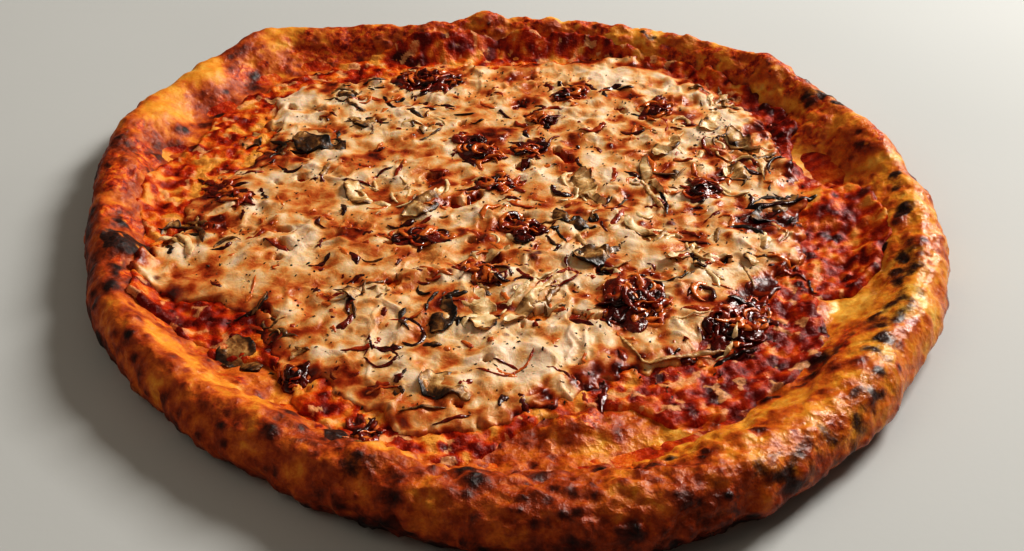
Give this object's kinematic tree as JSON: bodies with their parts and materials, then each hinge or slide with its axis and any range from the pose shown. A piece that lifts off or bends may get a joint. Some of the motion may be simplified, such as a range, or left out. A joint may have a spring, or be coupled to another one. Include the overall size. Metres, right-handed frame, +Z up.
{
  "type": "pizza",
  "caption": "Whole baked pizza with an uneven puffed rim, tomato sauce, melted cheese, mushroom slices and clumps of caramelised onion.",
  "frame": {"origin": "middle of the flat underside, which rests on z = 0", "axes": "+Z up out of the toppings; -Y towards the picture's camera, +X to its right"},
  "size_m": [0.3264, 0.3402, 0.022],
  "materials": {
    "dough": "baked, satin, charred in spots",
    "sauce": "wet, chunky",
    "cheese": "melted, oily, browned in spots",
    "mushroom": "moist, dark edges",
    "onion": "caramelised, glossy"
  },
  "bodies": {
    "root": {"crust": "dough", "sauce": "sauce", "cheese": "cheese", "mushroom_01": "mushroom", "mushroom_02": "mushroom", "mushroom_03": "mushroom", "mushroom_04": "mushroom", "mushroom_05": "mushroom", "mushroom_06": "mushroom", "mushroom_07": "mushroom", "mushroom_08": "mushroom", "mushroom_09": "mushroom", "mushroom_10": "mushroom", "mushroom_11": "mushroom", "mushroom_12": "mushroom", "mushroom_13": "mushroom", "mushroom_14": "mushroom", "mushroom_15": "mushroom", "mushroom_16": "mushroom", "mushroom_17": "mushroom", "mushroom_18": "mushroom", "mushroom_19": "mushroom", "mushroom_20": "mushroom", "mushroom_21": "mushroom", "mushroom_22": "mushroom", "mushroom_23": "mushroom", "mushroom_24": "mushroom", "mushroom_25": "mushroom", "mushroom_26": "mushroom", "mushroom_27": "mushroom", "mushroom_28": "mushroom", "mushroom_29": "mushroom", "mushroom_30": "mushroom", "onion_01": "onion", "onion_02": "onion", "onion_03": "onion", "onion_04": "onion", "onion_05": "onion", "onion_06": "onion", "onion_07": "onion", "onion_08": "onion", "onion_09": "onion", "onion_10": "onion", "onion_11": "onion", "onion_12": "onion", "onion_13": "onion", "onion_14": "onion", "onion_15": "onion", "onion_16": "onion"}
  },
  "joints": []
}
